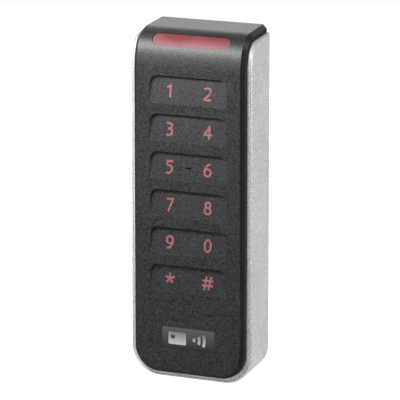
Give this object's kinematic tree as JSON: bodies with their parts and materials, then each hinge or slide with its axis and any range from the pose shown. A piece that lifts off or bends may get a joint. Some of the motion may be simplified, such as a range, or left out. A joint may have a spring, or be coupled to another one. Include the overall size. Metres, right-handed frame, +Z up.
{
  "type": "rfid card reader",
  "caption": "Slim wall reader for access cards with a touch keypad and a status light; it hooks onto a steel wall plate and is held by a security screw at the bottom.",
  "frame": {"origin": "middle of the wall plate's back face, on the wall", "axes": "+Z up, -Y out of the wall through the reader's face, +X to the right for someone facing the reader"},
  "size_m": [0.045, 0.0215, 0.1215],
  "materials": {
    "black_cover": "fine moulded texture",
    "red_legend": "translucent",
    "black_gloss": "gloss",
    "badge_grey": "satin",
    "badge_silver": "bright",
    "red_lens": "translucent gloss",
    "clear_guide": "clear",
    "board_green": "solder resist",
    "board_black": "solder resist",
    "lamp_white": "gloss",
    "strip_amber": "polyimide film",
    "silver_housing": "fine satin silver",
    "black_back": "moulded",
    "seal_rubber": "matt",
    "zinc_steel": "zinc plated",
    "zinc_plate": "zinc plated sheet",
    "bright_steel": "turned",
    "copper_trace": "bare",
    "copper_wire": "enamelled",
    "ferrite": "dull",
    "white_plastic": "moulded",
    "connector_black": "moulded",
    "chip_black": "moulded",
    "can_steel": "drawn",
    "ceramic_tan": "ceramic",
    "terminal_green": "moulded",
    "brass_pin": "plated",
    "nylon": "moulded"
  },
  "bodies": {
    "wall_plate": {"wall_plate": "zinc_plate", "tab_nut": "zinc_steel"},
    "reader": {"front_cover": "black_cover", "keypad_legends": "red_legend", "locator_dash": "black_gloss", "badge_plate": "badge_grey", "badge_emblem": "badge_silver", "light_bar": "red_lens", "light_guide": "clear_guide", "status_board": "board_green", "status_lamps": "lamp_white", "status_strip": "strip_amber", "side_housing": "silver_housing", "rear_cover": "black_back", "rear_seal": "seal_rubber", "case_screws": "zinc_steel", "hook_bar": "bright_steel", "touch_board": "board_black", "key_lamps": "lamp_white", "field_antenna": "copper_trace", "long_wave_coil": "copper_wire", "ferrite_sheet": "ferrite", "coil_carrier": "white_plastic", "main_board": "board_green", "board_screws": "zinc_steel", "board_connector": "connector_black", "controller_chip": "chip_black", "radio_chip": "chip_black", "bluetooth_module": "can_steel", "crystals": "can_steel", "capacitors": "ceramic_tan", "sounder": "connector_black", "tamper_sensor": "chip_black", "terminal_header": "terminal_green", "header_pins": "brass_pin"},
    "terminal_plug": {"terminal_plug": "terminal_green", "clamp_screws": "brass_pin", "wire_clamps": "zinc_steel"},
    "screw_washer": {"screw_washer": "nylon"},
    "security_screw": {"security_screw": "bright_steel"}
  },
  "joints": [
    {"name": "reader_swing", "type": "hinge", "parent": "wall_plate", "child": "reader", "pos_m": [0, -0.0035, 0.057], "axis": [-1, 0, 0], "range_deg": [0, 25]},
    {"name": "terminal_pull", "type": "slide", "parent": "reader", "child": "terminal_plug", "axis": [0, 1, 0], "range_m": [0, 0.0085]},
    {"name": "screw_feed", "type": "slide", "parent": "reader", "child": "screw_washer", "axis": [0, 0, 1], "range_m": [0, 0.00285]},
    {"name": "screw_turn", "type": "hinge", "parent": "screw_washer", "child": "security_screw", "pos_m": [0, -0.0056, -0.057], "axis": [0, 0, 1], "range_deg": [0, 2053]}
  ],
  "couplings": [
    {"joint": "screw_turn", "follows": "screw_feed", "rad_per_m": 12566}
  ]
}
